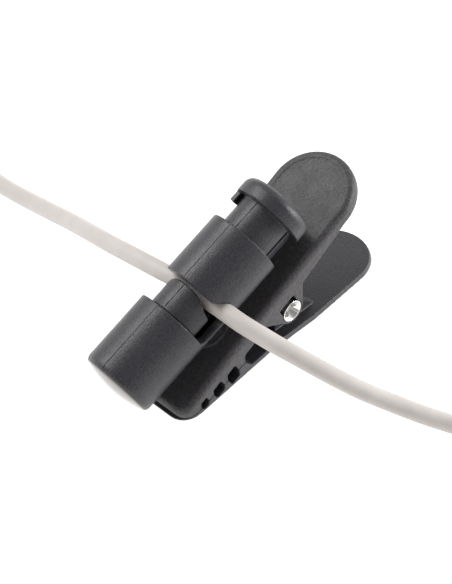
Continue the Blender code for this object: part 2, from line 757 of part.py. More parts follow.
def make_plug_relief(mat):
    profile = [(0, 6.0 * MM), (2.2 * MM, 6.0 * MM)]
    for ring in range(3):
        place = (4.8 - 1.3 * ring) * MM
        radius = (2.05 - 0.15 * ring) * MM
        profile += [(radius, place), (radius - 0.3 * MM, place - 0.2 * MM)]
        profile += [(radius - 0.3 * MM, place - 0.6 * MM), (radius - 0.1 * MM, place - 0.8 * MM)]
    profile += [(1.45 * MM, 0), (0, 0)]
    return dress(plug_part("plug_strain_relief", profile), mat)


def make_plug_housing(mat):
    low, high, radius = 6.0 * MM + GAP, 20.0 * MM, 3.0 * MM
    profile = [(0, high), (radius - 0.3 * MM, high), (radius, high - 0.3 * MM), (radius, low + 3.0 * MM)]
    profile += [(radius - 0.15 * MM, low + 2.0 * MM), (radius - 0.5 * MM, low + 0.4 * MM)]
    profile += [(radius - 0.9 * MM, low), (0, low)]
    return dress(plug_part("plug_housing", profile), mat)


# Places along the plug's shaft: collar, sleeve, first insulator, ring, second insulator, tip
SLEEVE = (20.0 * MM + GAP, 27.6 * MM)
FIRST_INSULATOR = (27.65 * MM, 28.25 * MM)
CONTACT_RING = (28.3 * MM, 30.0 * MM)
SECOND_INSULATOR = (30.05 * MM, 30.65 * MM)
TIP = (30.7 * MM, 34.1 * MM)


def make_plug_sleeve(mat):
    low, high = SLEEVE
    collar = low + 0.9 * MM
    profile = [(0, high), (PLUG_R, high), (PLUG_R, collar), (2.5 * MM, collar), (2.5 * MM, low), (0, low)]
    return dress(plug_part("plug_sleeve", profile), mat)


def make_plug_insulator(mat):
    """One moulding: two flanges on a core, with the contact ring between them."""
    core = 1.0 * MM
    profile = [(0, SECOND_INSULATOR[1]), (PLUG_R, SECOND_INSULATOR[1]), (PLUG_R, SECOND_INSULATOR[0])]
    profile += [(core, SECOND_INSULATOR[0]), (core, FIRST_INSULATOR[1]), (PLUG_R, FIRST_INSULATOR[1])]
    profile += [(PLUG_R, FIRST_INSULATOR[0]), (0, FIRST_INSULATOR[0])]
    return dress(plug_part("plug_insulator", profile), mat)


def make_plug_ring(mat):
    low, high = CONTACT_RING
    bore = 1.0 * MM + GAP
    profile = [(bore, high), (PLUG_R, high), (PLUG_R, low), (bore, low), (bore, high)]
    return dress(plug_part("plug_ring", profile), mat)


def make_plug_tip(mat):
    low, high = TIP
    waist = low + 1.1 * MM
    profile = [(0, high), (0.55 * MM, high - 0.08 * MM), (1.1 * MM, high - 0.45 * MM)]
    profile += [(1.65 * MM, high - 1.3 * MM), (1.65 * MM, high - 1.6 * MM), (1.2 * MM, waist)]
    profile += [(PLUG_R, low + 0.5 * MM), (PLUG_R, low), (0, low)]
    return dress(plug_part("plug_tip", profile), mat)


def main():
    clear_scene()
    black = material("black_plastic", (0.036, 0.034, 0.036), 0.42)
    steel = material("bright_steel", (0.74, 0.74, 0.73), 0.22, 1.0)
    spring_steel = material("spring_steel", (0.55, 0.55, 0.54), 0.3, 1.0)
    lead_grey = material("lead_grey", (0.58, 0.56, 0.53), 0.5)
    rubber = material("black_rubber", (0.03, 0.03, 0.03), 0.7)
    board_green = material("board_green", (0.03, 0.16, 0.07), 0.5)
    gold = material("gold_plate", (0.83, 0.62, 0.28), 0.25, 1.0)

    tip = LOWER_LEVER[0]
    lift = -(outer_face(tip) * math.cos(CLIP_TILT) + tip * math.sin(CLIP_TILT))
    clip = empty("clip_frame", (*CLIP_PLACE, lift), (0, -CLIP_TILT, 0))
    turn_about_post = Matrix.Translation((POST_A, 0, 0)) @ Matrix.Rotation(-GRIP_SWIVEL, 4, "Z")
    turn_about_post @= Matrix.Translation((-POST_A, 0, 0))
    grip = empty("grip_frame", turn_about_post.translation, (0, 0, -GRIP_SWIVEL), clip)

    make_grip_barrel(grip, black)
    make_plunger(grip, black)
    make_plunger_spring(grip, spring_steel)
    make_swivel_screw(clip, steel)
    make_swivel_washer(clip, steel)
    make_upper_lever(clip, black)
    make_lower_lever(clip, black)
    make_hinge_pin(clip, steel)
    make_clip_spring(clip, spring_steel)

    make_lead(lead_grey)
    make_cable_coil(lead_grey)
    make_cable_tail(lead_grey)
    make_coil_tie(rubber)
    make_capsule_relief(rubber)
    make_capsule_housing(black)
    make_capsule_gasket(rubber)
    make_capsule_element(steel)
    make_capsule_board(board_green)
    make_capsule_grille(steel)
    make_plug_relief(rubber)
    make_plug_housing(black)
    make_plug_sleeve(gold)
    make_plug_insulator(black)
    make_plug_ring(gold)
    make_plug_tip(gold)


main()
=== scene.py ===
"""Looks of the clip-on lavalier microphone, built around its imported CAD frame.

Metres, +Z up. Pieces of the clip are modelled in the clip's own frame, pitched up by CLIP_TILT: a runs
along the clip, y across, u up. The grip's frame is the same, turned by GRIP_SWIVEL about its post.
"""

import math

import bmesh
import bpy
from mathutils import Matrix, Vector
from mathutils.geometry import interpolate_bezier


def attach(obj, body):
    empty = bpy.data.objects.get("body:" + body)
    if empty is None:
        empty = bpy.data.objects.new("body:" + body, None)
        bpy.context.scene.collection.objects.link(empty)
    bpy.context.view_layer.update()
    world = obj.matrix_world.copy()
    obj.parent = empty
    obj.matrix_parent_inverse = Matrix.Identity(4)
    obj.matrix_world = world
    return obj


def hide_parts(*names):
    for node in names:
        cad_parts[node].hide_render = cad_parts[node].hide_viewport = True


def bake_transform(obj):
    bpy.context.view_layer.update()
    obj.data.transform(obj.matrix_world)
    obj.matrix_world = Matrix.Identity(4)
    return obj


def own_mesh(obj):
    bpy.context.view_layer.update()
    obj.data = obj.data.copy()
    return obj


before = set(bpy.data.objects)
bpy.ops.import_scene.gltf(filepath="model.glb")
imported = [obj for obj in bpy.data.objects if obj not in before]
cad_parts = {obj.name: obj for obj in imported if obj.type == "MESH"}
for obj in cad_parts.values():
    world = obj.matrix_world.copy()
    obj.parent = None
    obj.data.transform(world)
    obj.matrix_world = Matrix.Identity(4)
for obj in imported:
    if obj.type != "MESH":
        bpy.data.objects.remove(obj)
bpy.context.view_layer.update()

MM = 0.001
GAP = 0.08 * MM

# Frames of the clip and of the grip
CLIP_TILT = math.radians(22.8)
GRIP_SWIVEL = math.radians(3.0)
CLIP_PLACE = Vector((-20.64, -29.1, 7.118)) * MM
POST_A = 13.2 * MM
CLIP = Matrix.Translation(CLIP_PLACE) @ Matrix.Rotation(-CLIP_TILT, 4, "Y")
POST = Matrix.Translation((POST_A, 0, 0))
GRIP = CLIP @ POST @ Matrix.Rotation(-GRIP_SWIVEL, 4, "Z") @ POST.inverted()

# Grip barrel and plunger
BARREL_R = 5.0 * MM
BORE_R = 3.85 * MM
CUP_END = -0.5 * MM
DOME_SLOPE = 17  # degrees, of the cup's domed end where it meets the fillet
CUP_FLOOR = 1.2 * MM
WINDOW = (10.4 * MM, 14.9 * MM)
WINDOW_BOTTOM = -1.35 * MM
SLEEVE_END = 23.9 * MM
SHAFT_R = 3.7 * MM
CAP = (28.2 * MM, 30.8 * MM)
FOOT_R = 2.5 * MM
FOOT_BOTTOM = -5.42 * MM

# Clip levers
LEVER_HALF = 6.1 * MM
UPPER_LEVER = (1.9 * MM, 41.1 * MM)
LOWER_LEVER = (1.4 * MM, 37.3 * MM)
PIN = (21.8 * MM, -10.85 * MM)
PIN_R = 1.55 * MM
PIN_BORE_R = 1.15 * MM
EAR_INNER = 4.6 * MM
LOWER_EAR = (3.2 * MM, 4.4 * MM)
CONTACT_SLOPE = math.tan(math.radians(9.1))
TOP_SLOPE = 0.03
JAW_END = 12.7 * MM
GROOVES = ((4.6 * MM, 6.0 * MM), (6.9 * MM, 8.8 * MM), (9.5 * MM, 11.5 * MM))

# Lead, in mm: from the capsule to the grip, through it and down to the coil
LEAD_R = 1.2 * MM
LEAD_ROUTE = (
    (-4.3, 16.7, 3.1),
    (-4.3, 14.4, 3.1),
    (-4.4, 11.0, 3.45),
    (-4.5, 6.6, 4.3),
    (-4.8, 2.0, 5.6),
    (-5.2, -2.8, 7.1),
    (-5.8, -7.7, 8.7),
    (-6.4, -12.4, 10.2),
    (-6.7, -16.8, 11.4),
    (-6.9, -21.0, 12.4),
    (-6.8, -25.1, 12.95),
    (-6.8, -29.1, 13.0),
    (-6.7, -33.1, 13.0),
    (-6.7, -36.9, 12.9),
    (-6.2, -39.9, 12.4),
    (-5.5, -42.4, 11.6),
    (-4.5, -44.8, 10.5),
    (-3.4, -47.0, 9.2),
    (-2.1, -49.2, 7.7),
    (-0.7, -51.2, 6.2),
    (0.8, -53.1, 4.8),
    (2.3, -55.0, 3.5),
    (3.7, -57.0, 2.4),
    (5.0, -59.2, 1.7),
    (6.2, -61.6, 1.35),
    (7.7, -64.2, 1.25),
    (9.6, -67.0, 1.25),
    (11.9, -70.2, 1.35),
    (14.6, -73.9, 1.6),
    (18.8, -79.6, 1.8),
)
TAIL_ROUTE = (
    (21.6, -88.6, 9.15),
    (21.6, -93.6, 9.1),
    (21.4, -97.6, 8.5),
    (20.1, -101.4, 7.0),
    (17.6, -104.9, 5.3),
    (14.3, -107.5, 4.1),
    (10.7, -109.0, 3.3),
    (8.0, -109.3, 3.1),
)

# Coil of the spare lead: turns run clockwise from ENTRY_TURN, layer on layer, with a step to the next
# radius or height over STEP_SECTOR, and shorter first and last turns on top
COIL_CENTRE = Vector((5.9, -88.6, 0)) * MM
TURN_RADII = (15.7 * MM, 13.2 * MM, 10.7 * MM)
TURN_HEIGHTS = (1.8 * MM, 4.25 * MM, 6.7 * MM, 9.15 * MM)
ENTRY_TURN = math.radians(35)
STEP_SECTOR = math.radians(52)
TOP_LAYER_STAYS = (math.radians(150), math.radians(145))

# Fineness of the turned and moulded surfaces
TURN_SEGMENTS = 144
PIN_SEGMENTS = 96
ROD_SEGMENTS = 72
VOXEL = 0.1 * MM
SMOOTHING = 5

# Camera: the direction it is on, seen from the object, and its roll, in degrees; its place; its lens in mm
CAMERA_AZIMUTH = -40.93
CAMERA_ELEVATION = 46.44
CAMERA_ROLL = -5.53
CAMERA_PLACE = Vector((-130.44, -177.23, 215.55)) * MM
CAMERA_LENS = 138.1

# Studio: colour of the light; brightness of the tent at its sides and behind the camera, and of the light
# table; name, place, size and power of each soft box
WARM_WHITE = (1.0, 0.985, 0.97, 1)
TENT = (1.0, 0.3)
TABLE_GLOW = 0.95
SOFT_BOXES = (
    ("left_softbox", (-0.5, 0.1, 0.3), 0.3, 0.1),
    ("back_softbox", (-0.12, 0.31, 0.5), 0.3, 2.0),
    ("right_softbox", (0.42, -0.42, 0.14), 0.25, 2.6),
)

# Finish of each CAD piece that is shown as it is
CAD_FINISHES = {
    "swivel_screw": "bright_steel",
    "swivel_washer": "bright_steel",
    "coil_tie": "rubber",
    "capsule_strain_relief": "rubber",
    "capsule_housing": "black",
    "capsule_gasket": "rubber",
    "capsule_element": "bright_steel",
    "capsule_board": "board",
    "capsule_grille": "grille",
    "plug_strain_relief": "rubber",
    "plug_housing": "black",
    "plug_sleeve": "gold",
    "plug_insulator": "black",
    "plug_ring": "gold",
    "plug_tip": "gold",
}


# Camera, light and floor


def camera_side():
    """Direction from the object to the camera."""
    a, e = math.radians(CAMERA_AZIMUTH), math.radians(CAMERA_ELEVATION)
    return Vector((math.sin(a) * math.cos(e), -math.cos(a) * math.cos(e), math.sin(e)))


def make_camera():
    camera = bpy.data.cameras.new("camera")
    camera.lens = CAMERA_LENS
    camera.sensor_width = 36
    camera.clip_start = 0.01
    camera.clip_end = 10
    obj = bpy.data.objects.new("camera", camera)
    turn = (-camera_side()).to_track_quat("-Z", "Y").to_matrix().to_4x4()
    obj.matrix_world = (
        Matrix.Translation(CAMERA_PLACE) @ turn @ Matrix.Rotation(math.radians(CAMERA_ROLL), 4, "Z")
    )
    bpy.context.scene.collection.objects.link(obj)
    bpy.context.scene.camera = obj


def make_light():
    """A white tent, darkest behind the camera, and three soft boxes."""
    bpy.context.scene.view_settings.view_transform = "Standard"
    world = bpy.data.worlds.new("studio")
    world.use_nodes = True
    nodes, links = world.node_tree.nodes, world.node_tree.links
    coords = nodes.new("ShaderNodeTexCoord")
    toward = nodes.new("ShaderNodeVectorMath")
    toward.operation = "DOT_PRODUCT"
    toward.inputs[1].default_value = camera_side()
    tent = nodes.new("ShaderNodeMapRange")
    tent.interpolation_type = "SMOOTHSTEP"
    tent.inputs["From Min"].default_value = 0.15
    tent.inputs["From Max"].default_value = 0.95
    tent.inputs["To Min"].default_value = TENT[0]
    tent.inputs["To Max"].default_value = TENT[1]
    links.new(coords.outputs["Generated"], toward.inputs[0])
    links.new(toward.outputs["Value"], tent.inputs["Value"])
    background = nodes["Background"]
    background.inputs["Color"].default_value = WARM_WHITE
    links.new(tent.outputs["Result"], background.inputs["Strength"])
    bpy.context.scene.world = world
    for name, place, size, power in SOFT_BOXES:
        light = bpy.data.lights.new(name, "AREA")
        light.size = size
        light.energy = power
        obj = bpy.data.objects.new(name, light)
        obj.location = place
        obj.rotation_euler = (-Vector(place)).to_track_quat("-Z", "Y").to_euler()
        bpy.context.scene.collection.objects.link(obj)


def make_floor():
    """A white light table, so that the object throws hardly any shadow."""
    bm = bmesh.new()
    bmesh.ops.create_grid(bm, x_segments=1, y_segments=1, size=3.0)
    floor = as_object("floor", bm)
    mat = bpy.data.materials.new("floor")
    mat.use_nodes = True
    shader = mat.node_tree.nodes["Principled BSDF"]
    shader.inputs["Base Color"].default_value = (0.5, 0.5, 0.5, 1)
    shader.inputs["Roughness"].default_value = 0.9
    shader.inputs["Specular IOR Level"].default_value = 0.1
    shader.inputs["Emission Color"].default_value = WARM_WHITE
    shader.inputs["Emission Strength"].default_value = TABLE_GLOW
    floor.data.materials.append(mat)


# Modelling


def as_object(name, bm):
    bmesh.ops.recalc_face_normals(bm, faces=bm.faces)
    mesh = bpy.data.meshes.new(name)
    bm.to_mesh(mesh)
    bm.free()
    obj = bpy.data.objects.new(name, mesh)
    bpy.context.scene.collection.objects.link(obj)
    return obj


def applied(obj):
    """The object with its modifiers applied, as one mesh with welded seams."""
    bpy.context.view_layer.update()
    seen = obj.evaluated_get(bpy.context.evaluated_depsgraph_get())
    mesh = bpy.data.meshes.new_from_object(seen)
    bm = bmesh.new()
    bm.from_mesh(mesh)
    bmesh.ops.remove_doubles(bm, verts=bm.verts, dist=1e-7)
    bm.to_mesh(mesh)
    bm.free()
    if obj.type == "CURVE":
        name = obj.name
        bpy.data.objects.remove(obj, do_unlink=True)
        obj = bpy.data.objects.new(name, mesh)
        bpy.context.scene.collection.objects.link(obj)
        return obj
    obj.modifiers.clear()
    obj.data = mesh
    return obj


def boolean(target, tools, operation):
    """Joins, cuts or intersects with the tools, which are used up."""
    for tool in tools:
        step = target.modifiers.new(tool.name, "BOOLEAN")
        step.operation = operation
        step.solver = "EXACT"
        step.object = tool
        tool.hide_render = True
    target = applied(target)
    for tool in tools:
        bpy.data.objects.remove(tool, do_unlink=True)
    return target


def join(target, *tools):
    return boolean(target, tools, "UNION")


def cut(target, *tools):
    return boolean(target, tools, "DIFFERENCE")


def keep_inside(target, *tools):
    return boolean(target, tools, "INTERSECT")


def block(name, low, high):
    low, high = Vector(low), Vector(high)
    bm = bmesh.new()
    place = Matrix.Translation((low + high) / 2) @ Matrix.Diagonal((*(high - low), 1.0))
    bmesh.ops.create_cube(bm, size=1.0, matrix=place)
    return as_object(name, bm)


AXES = {
    "a": Matrix.Rotation(math.pi / 2, 4, "Y"),
    "y": Matrix.Rotation(-math.pi / 2, 4, "X"),
    "u": Matrix.Identity(4),
}


def rod(name, axis, centre, radius, low, high):
    bm = bmesh.new()
    along = AXES[axis] @ Vector((0, 0, (low + high) / 2))
    place = Matrix.Translation(Vector(centre) + along) @ AXES[axis]
    size = {"radius1": radius, "radius2": radius, "depth": high - low}
    bmesh.ops.create_cone(bm, cap_ends=True, segments=ROD_SEGMENTS, matrix=place, **size)
    return as_object(name, bm)


def arc(centre, radius, start, end, steps):
    turn = [math.radians(start + (end - start) * i / steps) for i in range(steps + 1)]
    return [(centre[0] + radius * math.cos(t), centre[1] + radius * math.sin(t)) for t in turn]


def eased(profile, radius, steps):
    """The profile with its corners off the axis rounded."""
    closed = (Vector(profile[0]) - Vector(profile[-1])).length < 1e-9
    points = [Vector(p) for p in (profile[:-1] if closed else profile)]
    count = len(points)
    line = []
    for i, point in enumerate(points):
        if not closed and i in (0, count - 1) or point.x < 1e-9:
            line.append(tuple(point))
            continue
        before, after = points[i - 1], points[(i + 1) % count]
        reach = min(radius, (before - point).length * 0.4, (after - point).length * 0.4)
        first = point + (before - point).normalized() * reach
        last = point + (after - point).normalized() * reach
        handles = (first, first.lerp(point, 0.55), last.lerp(point, 0.55), last)
        line += [tuple(p.to_2d()) for p in interpolate_bezier(*(h.to_3d() for h in handles), steps)]
    if closed:
        line.append(line[0])
    return line


def turned(name, profile, axis, centre, segments=TURN_SEGMENTS):
    """A turned solid: profile points (radius, place on the axis), outer side from high to low."""
    bm = bmesh.new()
    rings = []
    turn = [math.tau * i / segments for i in range(segments)]
    for radius, place in profile:
        if radius < 1e-9:
            rings.append([bm.verts.new((0, 0, place))])
            continue
        rings.append([bm.verts.new((radius * math.cos(t), radius * math.sin(t), place)) for t in turn])
    for first, second in zip(rings, rings[1:], strict=False):
        for i in range(segments):
            j = (i + 1) % segments
            corners = [first[i % len(first)], first[j % len(first)]]
            corners += [second[j % len(second)], second[i % len(second)]]
            corners = list(dict.fromkeys(corners))
            if len(corners) > 2:
                bm.faces.new(corners)
    bmesh.ops.remove_doubles(bm, verts=bm.verts, dist=1e-7)
    bm.transform(Matrix.Translation(Vector(centre)) @ AXES[axis])
    return as_object(name, bm)


def plate(name, outline, low, high, across):
    """A flat outline given thickness: across y for an (a, u) outline, across u for an (a, y) one."""
    bm = bmesh.new()
    if across == "y":
        face = bm.faces.new([bm.verts.new((a, low, u)) for a, u in outline])
        push = (0, high - low, 0)
    else:
        face = bm.faces.new([bm.verts.new((a, y, low)) for a, y in outline])
        push = (0, 0, high - low)
    grown = bmesh.ops.extrude_face_region(bm, geom=[face])["geom"]
    bmesh.ops.translate(bm, vec=push, verts=[v for v in grown if isinstance(v, bmesh.types.BMVert)])
    return as_object(name, bm)


def soften(obj, wanted, width, segments):
    """Rounds the edges whose two ends both answer to wanted."""
    bm = bmesh.new()
    bm.from_mesh(obj.data)
    bmesh.ops.dissolve_limit(bm, angle_limit=1e-3, verts=bm.verts, edges=bm.edges)
    sharp = math.radians(50)
    edges = [e for e in bm.edges if e.is_manifold and e.calc_face_angle() > sharp]
    edges = [e for e in edges if all(wanted(v.co) for v in e.verts)]
    bmesh.ops.bevel(
        bm, geom=edges, offset=width, segments=segments, profile=0.5, affect="EDGES", clamp_overlap=True
    )
    bmesh.ops.remove_doubles(bm, verts=bm.verts, dist=1e-7)
    bm.to_mesh(obj.data)
    bm.free()


def moulded(obj, faces):
    """Turns a crisp solid into a moulded one, its edges slightly rounded."""
    remesh = obj.modifiers.new("remesh", "REMESH")
    remesh.mode = "VOXEL"
    remesh.voxel_size = VOXEL
    smooth = obj.modifiers.new("smooth", "SMOOTH")
    smooth.factor = 0.5
    smooth.iterations = SMOOTHING
    obj = applied(obj)
    thin = obj.modifiers.new("thin", "DECIMATE")
    thin.ratio = min(1.0, faces / (2 * len(obj.data.polygons)))
    return applied(obj)


def finish_piece(obj, mat, body, place, nodes, angle=180):
    """Material, smooth shading and the CAD nodes that a piece stands for."""
    obj.data.transform(place)
    obj.data.materials.clear()
    obj.data.materials.append(mat)
    obj.data.shade_smooth()
    if angle < 180:
        obj.data.set_sharp_from_angle(angle=math.radians(angle))
    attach(obj, body)
    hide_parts(*nodes)
    return obj


def smooth_route(route, spacing):
    """Evenly spaced points on a smooth curve through the route's points."""
    points = [Vector(p) for p in route]
    ends = [points[0] * 2 - points[1], *points, points[-1] * 2 - points[-2]]
    fine = []
    for before, first, second, after in zip(ends, ends[1:], ends[2:], ends[3:], strict=False):
        reach = (second - first).length / 3
        leave = first + (second - before).normalized() * reach
        arrive = second - (after - first).normalized() * reach
        fine += interpolate_bezier(first, leave, arrive, second, 12)[:-1]
    fine.append(points[-1])
    total = sum((b - a).length for a, b in zip(fine, fine[1:], strict=False))
    count = max(2, round(total / spacing))
    even, walked, wanted = [fine[0]], 0.0, total / count
    for first, second in zip(fine, fine[1:], strict=False):
        step = (second - first).length
        while walked + step >= wanted and len(even) < count:
            even.append(first.lerp(second, (wanted - walked) / step))
            wanted += total / count
        walked += step
    return [*even, fine[-1]]


def wire(name, points, radius, sides):
    """A round wire through the points, as a curve with filled ends."""
    curve = bpy.data.curves.new(name, "CURVE")
    curve.dimensions = "3D"
    curve.bevel_depth = radius
    curve.bevel_resolution = sides
    curve.use_fill_caps = True
    spline = curve.splines.new("POLY")
    spline.points.add(len(points) - 1)
    for point, place in zip(spline.points, points, strict=True):
        point.co = (*place, 1)
    obj = bpy.data.objects.new(name, curve)
    bpy.context.scene.collection.objects.link(obj)
    return obj


# Materials


def material(name, colour, roughness, metallic=0.0):
    mat = bpy.data.materials.new(name)
    mat.use_nodes = True
    nodes, links = mat.node_tree.nodes, mat.node_tree.links
    shader = nodes["Principled BSDF"]
    shader.inputs["Base Color"].default_value = (*colour, 1)
    shader.inputs["Roughness"].default_value = roughness
    shader.inputs["Metallic"].default_value = metallic
    return mat, nodes, links, shader


def noise(nodes, links, scale, detail):
    """Noise on the piece's own coordinates, in metres; scale is in features per metre."""
    coords = nodes.new("ShaderNodeTexCoord")
    texture = nodes.new("ShaderNodeTexNoise")
    texture.inputs["Scale"].default_value = scale
    texture.inputs["Detail"].default_value = detail
    links.new(coords.outputs["Object"], texture.inputs["Vector"])
    return texture.outputs["Fac"]


def spread(nodes, links, value, low, high):
    """Maps a texture's middle range to low..high."""
    ramp = nodes.new("ShaderNodeMapRange")
    ramp.inputs["From Min"].default_value = 0.3
    ramp.inputs["From Max"].default_value = 0.7
    ramp.inputs["To Min"].default_value = low
    ramp.inputs["To Max"].default_value = high
    links.new(value, ramp.inputs["Value"])
    return ramp.outputs["Result"]


def tint(nodes, links, value, dark, light):
    """A colour between dark and light, as the value says."""
    mix = nodes.new("ShaderNodeMix")
    mix.data_type = "RGBA"
    mix.inputs[6].default_value = (*dark, 1)
    mix.inputs[7].default_value = (*light, 1)
    links.new(value, mix.inputs[0])
    return mix.outputs[2]


def bump(nodes, links, shader, height, depth):
    step = nodes.new("ShaderNodeBump")
    step.inputs["Strength"].default_value = 1.0
    step.inputs["Distance"].default_value = depth
    links.new(height, step.inputs["Height"])
    links.new(step.outputs["Normal"], shader.inputs["Normal"])


def plastic(name, dark, light, roughness, grain, depth):
    """Moulded plastic with a spark-eroded grain and cloudy gloss."""
    mat, nodes, links, shader = material(name, dark, roughness[0])
    cloud = noise(nodes, links, 420, 3)
    fine = noise(nodes, links, grain, 3)
    shade = tint(nodes, links, spread(nodes, links, fine, 0, 1), dark, light)
    links.new(shade, shader.inputs["Base Color"])
    links.new(spread(nodes, links, cloud, *roughness), shader.inputs["Roughness"])
    bump(nodes, links, shader, fine, depth)
    return mat


def metal(name, colour, roughness):
    """Plated or drawn metal with fine marks."""
    mat, nodes, links, shader = material(name, colour, roughness, 1.0)
    marks = noise(nodes, links, 2600, 4)
    links.new(spread(nodes, links, marks, roughness * 0.7, roughness * 1.4), shader.inputs["Roughness"])
    bump(nodes, links, shader, marks, 0.004 * MM)
    return mat


def jacket():
    """The lead's soft jacket: warm grey, faintly mottled."""
    mat, nodes, links, shader = material("lead_jacket", (0.6, 0.57, 0.54), 0.48)
    cloud = noise(nodes, links, 260, 3)
    fine = noise(nodes, links, 5200, 2)
    dark, light = (0.52, 0.49, 0.465), (0.58, 0.55, 0.525)
    shade = tint(nodes, links, spread(nodes, links, cloud, 0, 1), dark, light)
    links.new(shade, shader.inputs["Base Color"])
    links.new(spread(nodes, links, cloud, 0.42, 0.55), shader.inputs["Roughness"])
    bump(nodes, links, shader, fine, 0.006 * MM)
    return mat


def gloss_with_painted_reflection():
    """Black plastic for the cup's end: a lacquered gloss, and a painted reflection of the bright table in
    its warmer, lighter colour, warm specular tint and raised IOR.
    """
    mat = plastic("black_gloss_painted_reflection", (0.03, 0.027, 0.026), (0.045, 0.041, 0.04), (0.12, 0.18), 3600, 0.004 * MM)
    inputs = mat.node_tree.nodes["Principled BSDF"].inputs
    # Painted reflection: the raised IOR and warm specular tint brighten and warm the end's reflection
    inputs["IOR"].default_value = 1.9
    inputs["Specular Tint"].default_value = (1.0, 0.92, 0.87, 1)
    inputs["Coat Weight"].default_value = 0.5
    inputs["Coat Roughness"].default_value = 0.12
    return mat


def make_finishes():
    """Every material by a short name; a plastic's values are its dark and light colour, the range of its
    roughness, the fineness of its grain and the grain's depth.
    """
    black = ((0.014, 0.0135, 0.0185), (0.042, 0.0405, 0.048), (0.33, 0.43), 5000, 0.045 * MM)
    satin = ((0.027, 0.0255, 0.029), (0.056, 0.053, 0.058), (0.44, 0.54), 2800, 0.09 * MM)
    rubber = ((0.022, 0.022, 0.022), (0.03, 0.03, 0.03), (0.6, 0.75), 5000, 0.01 * MM)
    board = ((0.03, 0.15, 0.07), (0.04, 0.18, 0.09), (0.4, 0.5), 5000, 0.004 * MM)
    return {
        "black": plastic("black_plastic", *black),
        "satin": plastic("black_satin", *satin),
        "gloss_and_painted_reflection": gloss_with_painted_reflection(),
        "bright_steel": metal("bright_steel", (0.78, 0.78, 0.77), 0.16),
        "spring_steel": metal("spring_steel", (0.5, 0.5, 0.49), 0.28),
        "gold": metal("gold_plate", (0.83, 0.62, 0.28), 0.2),
        "grille": metal("grille_steel", (0.3, 0.3, 0.3), 0.35),
        "rubber": plastic("black_rubber", *rubber),
        "board": plastic("board", *board),
        "jacket": jacket(),
    }


# The grip


def dome(reach, place, edge, steps):
    """Profile of the cup's domed end, from the edge of its fillet to the axis."""
    slope = math.radians(DOME_SLOPE)
    radius = (reach + edge * math.sin(slope)) / math.sin(slope)
    centre = place + (radius - edge) * math.cos(slope)
    line = arc((0, centre), radius, DOME_SLOPE - 90, -90, steps)
    return [*line[1:-1], (0, centre - radius)]


def make_grip_barrel(mat, gloss):
    edge = 1.0 * MM
    profile = [(BORE_R, SLEEVE_END), (BARREL_R, SLEEVE_END), (BARREL_R, CUP_END + edge)]
    profile += arc((BARREL_R - edge, CUP_END + edge), edge, 0, DOME_SLOPE - 90, 12)[1:]
    profile += dome(BARREL_R - edge, CUP_END + edge, edge, 16)
    profile += [(0, CUP_FLOOR), (BORE_R, CUP_FLOOR), (BORE_R, SLEEVE_END)]
    barrel = turned("grip", profile, "a", (0, 0, 0))
    corner = 1.0 * MM
    low, high = WINDOW
    notch = [(1.55, -0.7), (1.55, 0.3), (1.35, 0.95), (0.85, 1.6), (0.3, 2.1), (0.02, 2.6)]
    outline = [(low, 7 * MM)]
    outline += arc((low + corner, WINDOW_BOTTOM + corner), corner, 180, 270, 10)
    outline += [(high + 0.75 * MM, WINDOW_BOTTOM)]
    outline += [(high + a * MM, u * MM) for a, u in notch]
    outline += [(high, 7 * MM)]
    window = plate("window", outline, -6 * MM, 6 * MM, "y")
    keyway = block("keyway", (7.0 * MM, -2.75 * MM, -3.5 * MM), (26 * MM, 2.75 * MM, 0))
    foot = rod("foot", "u", (POST_A, 0, 0), FOOT_R, FOOT_BOTTOM, -4.2 * MM)
    socket = rod("screw_socket", "u", (POST_A, 0, 0), 1.0 * MM, -6 * MM, -4.3 * MM)
    barrel = cut(join(barrel, foot), window, keyway, socket)
    barrel = moulded(barrel, 90000)
    ridges = [
        parting_line("cup_line", (CUP_END + 0.5 * MM, low - 0.1 * MM), BARREL_R),
        parting_line("sleeve_line", (high + 0.2 * MM, SLEEVE_END - 0.2 * MM), BARREL_R),
    ]
    barrel = with_parts(barrel, *ridges)
    # The cup's domed end takes the glossy copy of the black plastic, with its painted reflection of the
    # bright table
    gloss_end = CUP_END + 0.22 * MM
    end_faces = [f.index for f in barrel.data.polygons if f.center.x < gloss_end]
    finish_piece(barrel, mat, "grip", GRIP, ["grip_barrel"])
    barrel.data.materials.append(gloss)
    for index in end_faces:
        barrel.data.polygons[index].material_index = 1


def parting_line(name, reach, radius):
    """The mould's parting line: a fine ridge along the top of a turned surface."""
    half, proud = 0.07 * MM, 0.035 * MM
    outline = [(half, radius - 0.1 * MM), (half, radius), (0, radius + proud), (-half, radius)]
    outline += [(-half, radius - 0.1 * MM)]
    bm = bmesh.new()
    ends = [[bm.verts.new((a, y, u)) for y, u in outline] for a in reach]
    for i in range(len(outline)):
        j = (i + 1) % len(outline)
        bm.faces.new((ends[0][i], ends[0][j], ends[1][j], ends[1][i]))
    for end in ends:
        bm.faces.new(end)
    return as_object(name, bm)


def with_parts(obj, *parts):
    """One piece from several shells."""
    bm = bmesh.new()
    for part in (obj, *parts):
        bm.from_mesh(part.data)
    bm.to_mesh(obj.data)
    bm.free()
    for part in parts:
        bpy.data.objects.remove(part, do_unlink=True)
    return obj


